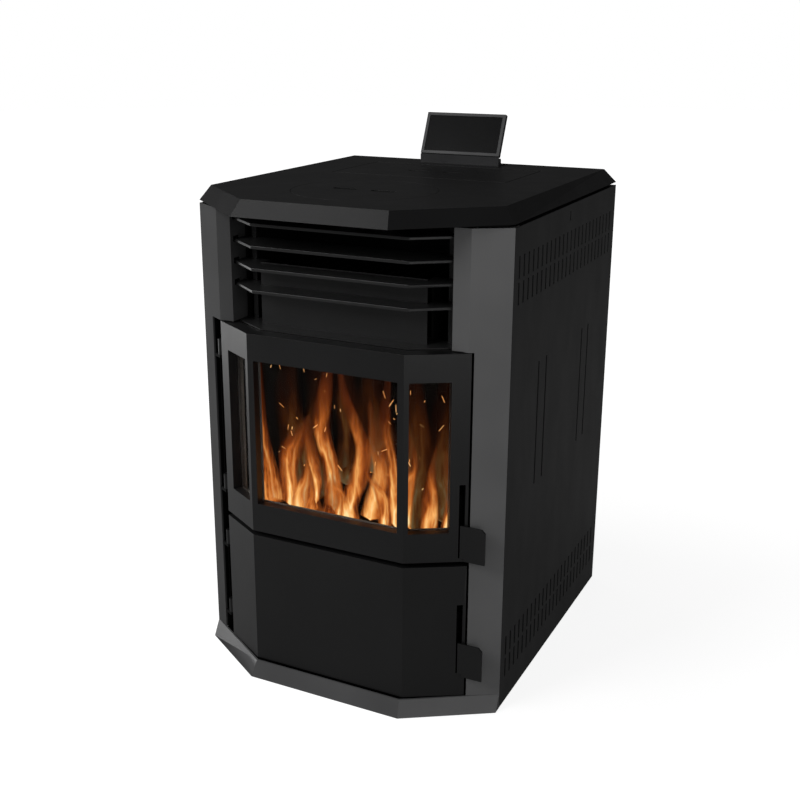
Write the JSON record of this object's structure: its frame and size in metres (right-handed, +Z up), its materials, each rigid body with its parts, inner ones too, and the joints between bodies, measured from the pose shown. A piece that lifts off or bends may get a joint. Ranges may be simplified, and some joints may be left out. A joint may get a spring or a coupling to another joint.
{
  "type": "pellet stove",
  "caption": "Free-standing pellet stove with a faceted glazed fire door over a plain ash door, warm-air louvres, a lift-off round lid, a loading lid and a tilting display.",
  "frame": {"origin": "centre of the bounding box's foot, on the floor", "axes": "+Z up, +Y towards the back, +X to the viewer's right when facing the fire door"},
  "size_m": [0.536, 0.681, 0.8894],
  "materials": {
    "top_paint": "satin black heat paint",
    "side_paint": "satin black heat paint",
    "front_paint": "satin charcoal heat paint",
    "door_paint": "satin black heat paint",
    "heat_paint": "matt black heat paint",
    "door_glass": "clear heat-resistant ceramic glass",
    "glass_rope": "braided glass fibre rope",
    "cast_iron": "sooty cast surface",
    "steel_pin": "turned",
    "zinc_sheet": "galvanised sheet",
    "black_plastic": "fine moulded grain",
    "screen": "smooth dark window"
  },
  "bodies": {
    "root": {"top_plate": "top_paint", "top_frame": "heat_paint", "hopper_lid_pin": "steel_pin", "side_panel_right": "side_paint", "side_panel_left": "side_paint", "back_panel": "side_paint", "pillar_right": "front_paint", "pillar_left": "front_paint", "plinth_skirt": "front_paint", "base_pan": "heat_paint", "louvre_fin_1": "front_paint", "louvre_fin_2": "front_paint", "louvre_fin_3": "front_paint", "louvre_fin_4": "front_paint", "inner_front_panel": "front_paint", "latch_keeper": "heat_paint", "fire_door_hinge": "heat_paint", "ash_door_hinge": "heat_paint", "fire_chamber": "heat_paint", "chamber_liner": "cast_iron", "baffle_plate": "cast_iron", "burn_pot": "cast_iron", "igniter": "steel_pin", "ash_chamber": "heat_paint", "ash_pan": "zinc_sheet", "heat_exchanger": "heat_paint", "hopper": "zinc_sheet", "hopper_grille": "zinc_sheet", "feed_chute": "zinc_sheet", "auger_tube": "zinc_sheet", "auger_motor": "black_plastic", "fan_housing": "zinc_sheet", "fan_motor": "black_plastic", "exhaust_duct": "zinc_sheet", "flue_outlet": "zinc_sheet", "air_intake": "zinc_sheet", "blower_housing": "zinc_sheet", "blower_motor": "black_plastic", "control_board": "black_plastic", "power_inlet": "black_plastic", "display_base": "black_plastic", "display_pin": "steel_pin"},
    "fire_door": {"fire_door": "door_paint", "door_glass_middle": "door_glass", "door_glass_right": "door_glass", "door_glass_left": "door_glass", "glass_retainer": "heat_paint", "fire_door_rope": "glass_rope"},
    "fire_door_latch": {"fire_door_latch": "door_paint"},
    "ash_door": {"ash_door": "door_paint", "ash_door_rope": "glass_rope"},
    "ash_door_latch": {"ash_door_latch": "door_paint"},
    "round_lid": {"round_lid": "top_paint"},
    "hopper_lid": {"hopper_lid": "top_paint"},
    "auger": {"auger_screw": "zinc_sheet"},
    "fan_rotor": {"fan_rotor": "zinc_sheet"},
    "blower_rotor": {"blower_rotor": "zinc_sheet"},
    "rocker": {"rocker_switch": "black_plastic"},
    "display": {"display_housing": "black_plastic", "display_screen": "screen"}
  },
  "joints": [
    {"name": "fire_door_hinge", "type": "hinge", "parent": "root", "child": "fire_door", "pos_m": [-0.22478, -0.2384, 0.425], "axis": [0, 0, -1], "range_deg": [0, 110]},
    {"name": "fire_latch_lift", "type": "slide", "parent": "fire_door", "child": "fire_door_latch", "axis": [0, 0, 1], "range_m": [0, 0.05]},
    {"name": "ash_door_hinge", "type": "hinge", "parent": "root", "child": "ash_door", "pos_m": [-0.22478, -0.2384, 0.14], "axis": [0, 0, -1], "range_deg": [0, 110]},
    {"name": "ash_latch_lift", "type": "slide", "parent": "ash_door", "child": "ash_door_latch", "axis": [0, 0, 1], "range_m": [0, 0.05]},
    {"name": "round_lid_lift", "type": "slide", "parent": "root", "child": "round_lid", "axis": [0, 0, 1], "range_m": [0, 0.15]},
    {"name": "hopper_lid_hinge", "type": "hinge", "parent": "root", "child": "hopper_lid", "pos_m": [0, 0.1915, 0.796], "axis": [-1, 0, 0], "range_deg": [0, 80]},
    {"name": "auger_spin", "type": "hinge", "parent": "root", "child": "auger", "pos_m": [0, 0.0205, 0.43], "axis": [0, 0.7071, -0.7071], "continuous": true},
    {"name": "fan_spin", "type": "hinge", "parent": "root", "child": "fan_rotor", "pos_m": [-0.107, 0.1985, 0.15], "axis": [1, 0, 0], "continuous": true},
    {"name": "blower_spin", "type": "hinge", "parent": "root", "child": "blower_rotor", "pos_m": [0.095, 0.2425, 0.082], "axis": [1, 0, 0], "continuous": true},
    {"name": "rocker_tilt", "type": "hinge", "parent": "root", "child": "rocker", "pos_m": [0.219, 0.2868, 0.16], "axis": [1, 0, 0], "range_deg": [0, 16]},
    {"name": "display_tilt", "type": "hinge", "parent": "root", "child": "display", "pos_m": [-0.007, 0.232, 0.809], "axis": [-1, 0, 0], "range_deg": [0, 35]}
  ]
}
